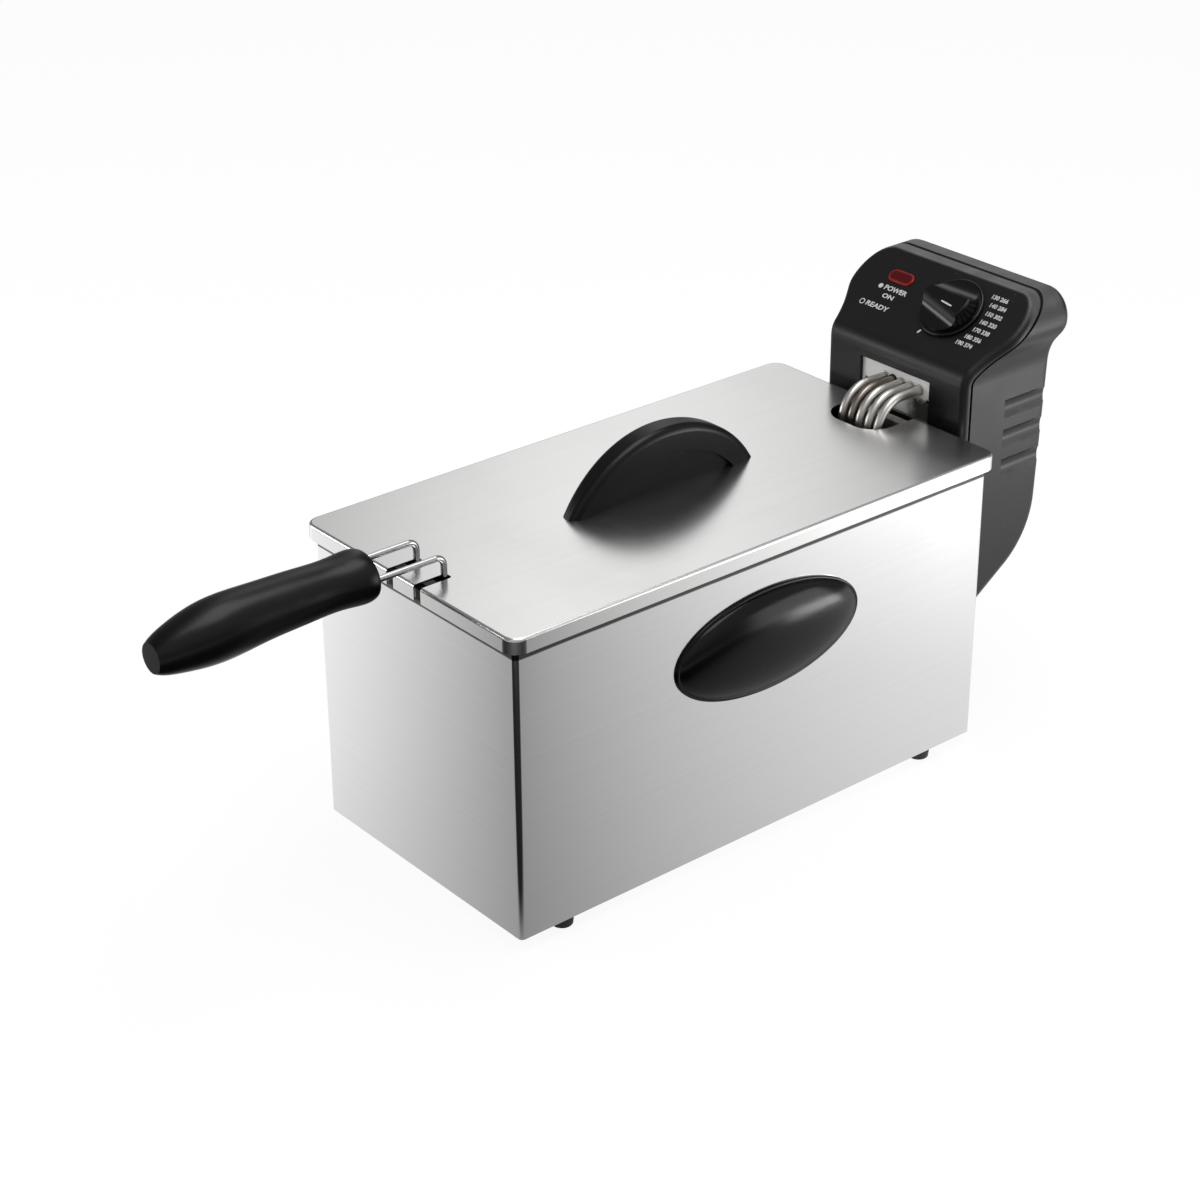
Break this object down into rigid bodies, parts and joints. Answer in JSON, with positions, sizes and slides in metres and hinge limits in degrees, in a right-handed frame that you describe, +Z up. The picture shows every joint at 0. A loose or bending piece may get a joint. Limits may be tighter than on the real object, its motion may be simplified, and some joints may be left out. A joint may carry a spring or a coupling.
{
  "type": "deep fryer",
  "caption": "Countertop deep fryer: steel housing, lift-out oil pot, plug-in control head with tubular element, wire basket with pull-out handle, and lid.",
  "frame": {"origin": "under the middle of the whole fryer's box, on the surface it stands on", "axes": "+X runs from the basket handle's tip to the control head, +Z is up, and +Y is the left side seen from the handle end"},
  "size_m": [0.6686, 0.228, 0.298],
  "materials": {
    "housing_steel": "satin stainless sheet",
    "lid_steel": "polished stainless sheet",
    "pot_steel": "drawn stainless sheet",
    "sheet_steel": "galvanised sheet",
    "black_satin_plastic": "satin moulded",
    "black_gloss_plastic": "polished moulded",
    "black_handle_plastic": "satin phenolic",
    "knob_plastic": "semi-gloss moulded",
    "chromed_wire": "bright",
    "basket_wire": "tinned wire cloth",
    "element_steel": "bright sheath",
    "brass_fittings": "turned",
    "foot_rubber": "matt",
    "screw_steel": "zinc plated",
    "red_lens": "clear red moulded",
    "switch_plastic": "cream moulded",
    "reset_plastic": "red moulded"
  },
  "bodies": {
    "housing": {"housing_shell": "housing_steel", "base_plate": "sheet_steel", "rubber_feet": "foot_rubber", "foot_screws": "screw_steel", "side_grip_right": "black_gloss_plastic", "side_grip_left": "black_gloss_plastic", "side_grip_screws": "screw_steel", "rear_bracket": "sheet_steel", "bracket_rivets": "screw_steel"},
    "pot": {"oil_pot": "pot_steel"},
    "head": {"head_front_shell": "black_satin_plastic", "head_rear_shell": "black_satin_plastic", "head_screws": "screw_steel", "hook_plate": "sheet_steel", "element_plate": "sheet_steel", "element_ferrules": "brass_fittings", "heating_element": "element_steel", "element_clips": "sheet_steel", "sensor_tube": "element_steel", "sensor_grommet": "foot_rubber", "thermostat": "switch_plastic", "thermal_cutout": "switch_plastic", "interlock_switch": "switch_plastic", "terminal_block": "switch_plastic", "lamp_lens": "red_lens", "pilot_lamp": "switch_plastic", "cord_gland": "black_satin_plastic"},
    "basket": {"basket_mesh": "basket_wire", "basket_frame": "chromed_wire", "handle_bracket": "chromed_wire"},
    "handle": {"handle_wires": "chromed_wire", "handle_grip": "black_handle_plastic"},
    "lid": {"lid_panel": "lid_steel", "lid_handle": "black_handle_plastic", "lid_handle_screws": "screw_steel"},
    "knob": {"thermostat_knob": "knob_plastic", "thermostat_spindle": "screw_steel"},
    "reset": {"reset_button": "reset_plastic"}
  },
  "joints": [
    {"name": "pot_lift", "type": "slide", "parent": "housing", "child": "pot", "axis": [0, 0, 1], "range_m": [0, 0.2]},
    {"name": "head_lift", "type": "slide", "parent": "pot", "child": "head", "axis": [0, 0, 1], "range_m": [0, 0.24]},
    {"name": "basket_lift", "type": "slide", "parent": "head", "child": "basket", "axis": [0, 0, 1], "range_m": [0, 0.2]},
    {"name": "handle_pull", "type": "slide", "parent": "basket", "child": "handle", "axis": [0, 0, 1], "range_m": [0, 0.045]},
    {"name": "lid_lift", "type": "slide", "parent": "basket", "child": "lid", "axis": [0, 0, 1], "range_m": [0, 0.15]},
    {"name": "knob_turn", "type": "hinge", "parent": "head", "child": "knob", "pos_m": [0.28336, -0.0172, 0.28013], "axis": [0.6088, 0, -0.7934], "range_deg": [-251, 31]},
    {"name": "reset_press", "type": "slide", "parent": "head", "child": "reset", "axis": [-1, 0, 0], "range_m": [0, 0.0018], "stiffness_N_per_m": 400}
  ]
}
